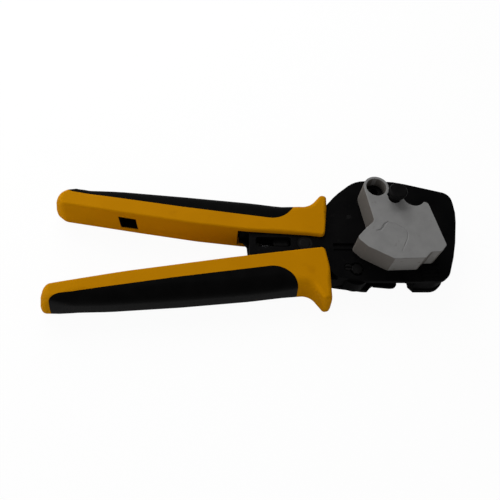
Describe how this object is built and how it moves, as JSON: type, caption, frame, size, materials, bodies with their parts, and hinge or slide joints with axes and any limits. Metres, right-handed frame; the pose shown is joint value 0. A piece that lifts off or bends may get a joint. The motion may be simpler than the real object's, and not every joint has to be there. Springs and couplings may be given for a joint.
{
  "type": "ratchet crimping tool",
  "caption": "Ratchet crimping tool with a toggle-driven swinging jaw, a swing-out contact locator with a sprung lock knob, and two soft-grip handles.",
  "frame": {"origin": "centre of the underside of the whole part's box, on the surface that the tool lies on", "axes": "+X to the nose of the head, +Y to the fixed handle, +Z from the back plate to the locator side"},
  "size_m": [0.2457, 0.0824, 0.0434],
  "materials": {
    "black_steel": "black oxide, satin",
    "bright_steel": "ground steel, lightly oiled",
    "spring_steel": "drawn wire and hardened strip",
    "yellow_shell": "moulded plastic, semi-gloss",
    "black_grip": "soft moulded grip, satin",
    "locator_alloy": "bead-blasted alloy"
  },
  "bodies": {
    "frame": {"front_frame_plate": "black_steel", "back_frame_plate": "black_steel", "fixed_jaw": "black_steel", "fixed_die": "black_steel", "fixed_die_screws": "spring_steel", "frame_rivets": "black_steel", "jaw_pivot_bolt": "black_steel", "jaw_pivot_nut": "black_steel", "eccentric_shaft": "black_steel", "eccentric_circlip": "spring_steel", "adjuster_lock_screw": "black_steel", "handle_tang": "black_steel", "tang_rivets": "black_steel", "fixed_handle_shell": "yellow_shell", "fixed_handle_grip": "black_grip", "fixed_handle_dowels": "bright_steel", "pawl_pin": "black_steel", "pawl_spacers": "bright_steel", "pawl_spring_pin": "bright_steel", "return_spring_pin": "black_steel", "locator_screw": "black_steel", "locator_washer": "black_steel", "knob_bushing": "black_steel", "pawl_spring": "spring_steel", "jaw_return_spring": "spring_steel", "knob_spring": "spring_steel"},
    "lever": {"moving_lever": "black_steel", "ratchet_segment": "spring_steel", "ratchet_rivets": "bright_steel", "lever_link_pin": "bright_steel", "moving_handle_shell": "yellow_shell", "moving_handle_grip": "black_grip", "moving_handle_dowels": "bright_steel"},
    "jaw": {"moving_jaw": "black_steel", "moving_die": "black_steel", "moving_die_screws": "spring_steel", "jaw_link_pin": "bright_steel", "jaw_spring_pin": "bright_steel"},
    "toggle": {"toggle_links": "black_steel"},
    "pawl": {"pawl": "black_steel"},
    "locator": {"locator_block": "locator_alloy"},
    "knob": {"lock_knob": "black_steel", "knob_clip": "spring_steel"}
  },
  "joints": [
    {"name": "handle_close", "type": "hinge", "parent": "frame", "child": "lever", "pos_m": [0.05667, -0.0205, 0.0116], "axis": [0, 0, 1], "range_deg": [-14.9, 0], "stiffness_Nm_per_rad": 1.2, "springref_deg": 5.73},
    {"name": "jaw_swing", "type": "hinge", "parent": "frame", "child": "jaw", "pos_m": [0.06987, 0.0259, 0.0116], "axis": [0, 0, 1], "range_deg": [0, 6.96], "deforming": ["jaw_return_spring"]},
    {"name": "toggle_swing", "type": "hinge", "parent": "jaw", "child": "toggle", "pos_m": [0.07347, -0.0131, 0.0116], "axis": [0, 0, 1], "range_deg": [0, 4.03]},
    {"name": "pawl_release", "type": "hinge", "parent": "frame", "child": "pawl", "pos_m": [0.02737, -0.0039, 0.0116], "axis": [0, 0, 1], "range_deg": [-8, 8], "stiffness_Nm_per_rad": 0.02, "deforming": ["pawl_spring"]},
    {"name": "locator_swing", "type": "hinge", "parent": "frame", "child": "locator", "pos_m": [0.06987, 0.0259, 0.0201], "axis": [0, 0, 1], "range_deg": [-22, 0]},
    {"name": "knob_lift", "type": "slide", "parent": "frame", "child": "knob", "axis": [0, 0, 1], "range_m": [0, 0.003], "stiffness_N_per_m": 400, "springref_m": -0.003, "deforming": ["knob_spring"]}
  ],
  "couplings": [
    {"joint": "jaw_swing", "follows": "handle_close", "ratio": -0.467},
    {"joint": "toggle_swing", "follows": "handle_close", "ratio": -0.27}
  ]
}
